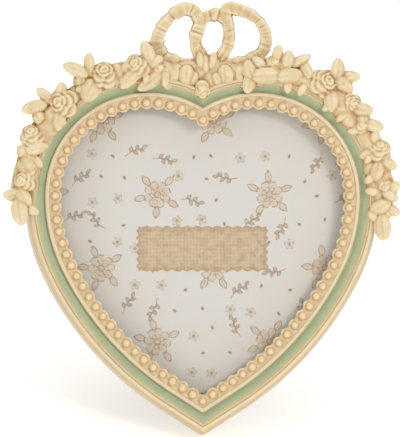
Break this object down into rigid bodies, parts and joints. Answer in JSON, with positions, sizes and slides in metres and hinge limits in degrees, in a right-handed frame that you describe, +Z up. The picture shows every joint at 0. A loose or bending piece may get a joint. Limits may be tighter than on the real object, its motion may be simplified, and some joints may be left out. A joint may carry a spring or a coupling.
{
  "type": "heart shaped photo frame",
  "caption": "Cast heart shaped photo frame with a green cove, a pearl course, rose sprays and a ribbon bow, glazed from the rear and stood on a folding easel leg.",
  "frame": {"origin": "on the floor, in the middle of the standing frame's width and depth", "axes": "+Z up, +Y backwards from the picture towards the easel leg, +X to the viewer's right"},
  "size_m": [0.1407, 0.0713, 0.1449],
  "materials": {
    "painted_resin": "satin",
    "pearl_resin": "satin",
    "clear_glass": "gloss",
    "printed_paper": "matte",
    "flocked_board": "matte",
    "nickel_steel": "satin",
    "satin_ribbon": "satin"
  },
  "bodies": {
    "frame": {"heart_moulding": "painted_resin", "bead_course": "pearl_resin", "ribbon_bow": "painted_resin", "glass_pane": "clear_glass", "picture_insert": "printed_paper", "back_board": "flocked_board", "hinge_bracket": "nickel_steel", "hinge_pin": "nickel_steel", "bracket_rivets": "nickel_steel", "stay_ribbon": "satin_ribbon", "stay_staple_board": "nickel_steel", "turn_button_screws": "nickel_steel", "rose_spray_left_low": "painted_resin", "rose_spray_left_mid": "painted_resin", "rose_spray_left_top": "painted_resin", "rose_spray_right_low": "painted_resin", "rose_spray_right_mid": "painted_resin", "rose_spray_right_top": "painted_resin"},
    "leg": {"easel_leg": "flocked_board", "hinge_strap": "nickel_steel", "strap_rivets": "nickel_steel", "stay_staple_leg": "nickel_steel"},
    "turn_button_upper_left": {"turn_button_upper_left": "nickel_steel"},
    "turn_button_upper_right": {"turn_button_upper_right": "nickel_steel"},
    "turn_button_lower_left": {"turn_button_lower_left": "nickel_steel"},
    "turn_button_lower_right": {"turn_button_lower_right": "nickel_steel"}
  },
  "joints": [
    {"name": "leg_hinge", "type": "hinge", "parent": "frame", "child": "leg", "pos_m": [0, 0.01947, 0.09347], "axis": [1, 0, 0], "range_deg": [-32.5, 0], "deforming": ["stay_ribbon"]},
    {"name": "turn_button_upper_left_turn", "type": "hinge", "parent": "frame", "child": "turn_button_upper_left", "pos_m": [-0.02589, 0.02465, 0.11299], "axis": [0, 0.9135, -0.4067], "continuous": true},
    {"name": "turn_button_upper_right_turn", "type": "hinge", "parent": "frame", "child": "turn_button_upper_right", "pos_m": [0.02589, 0.02465, 0.11299], "axis": [0, 0.9135, -0.4067], "continuous": true},
    {"name": "turn_button_lower_left_turn", "type": "hinge", "parent": "frame", "child": "turn_button_lower_left", "pos_m": [-0.03063, -0.01415, 0.02583], "axis": [0, 0.9135, -0.4067], "continuous": true},
    {"name": "turn_button_lower_right_turn", "type": "hinge", "parent": "frame", "child": "turn_button_lower_right", "pos_m": [0.03063, -0.01415, 0.02583], "axis": [0, 0.9135, -0.4067], "continuous": true}
  ]
}
